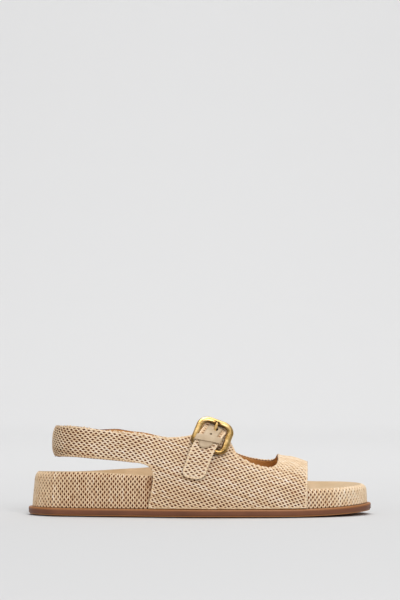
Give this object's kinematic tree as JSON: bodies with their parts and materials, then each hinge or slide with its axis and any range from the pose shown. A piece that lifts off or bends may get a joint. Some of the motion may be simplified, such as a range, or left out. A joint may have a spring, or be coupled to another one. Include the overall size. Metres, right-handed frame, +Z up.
{
  "type": "raffia sandal",
  "caption": "Low slingback sandal for the right foot: woven raffia upper with an open toe, a buckled instep strap and a cupped suede footbed on a flat rubber sole.",
  "frame": {"origin": "middle of the bounding box, on the floor under the sole", "axes": "+X to the toe, +Y to the inner side of the foot, +Z up"},
  "size_m": [0.262, 0.0941, 0.0753],
  "materials": {
    "outsole": "satin caramel rubber",
    "raffia": "net of pale raffia strands over a brown ground",
    "suede": "tan suede",
    "leather": "smooth beige leather",
    "brass": "satin brass"
  },
  "bodies": {
    "root": {"outsole": "outsole", "midsole": "raffia", "insole": "suede", "upper": "raffia", "instep_strap": "raffia", "strap_patch": "leather", "keeper": "leather", "buckle_frame": "brass", "buckle_prong": "brass"}
  },
  "joints": []
}
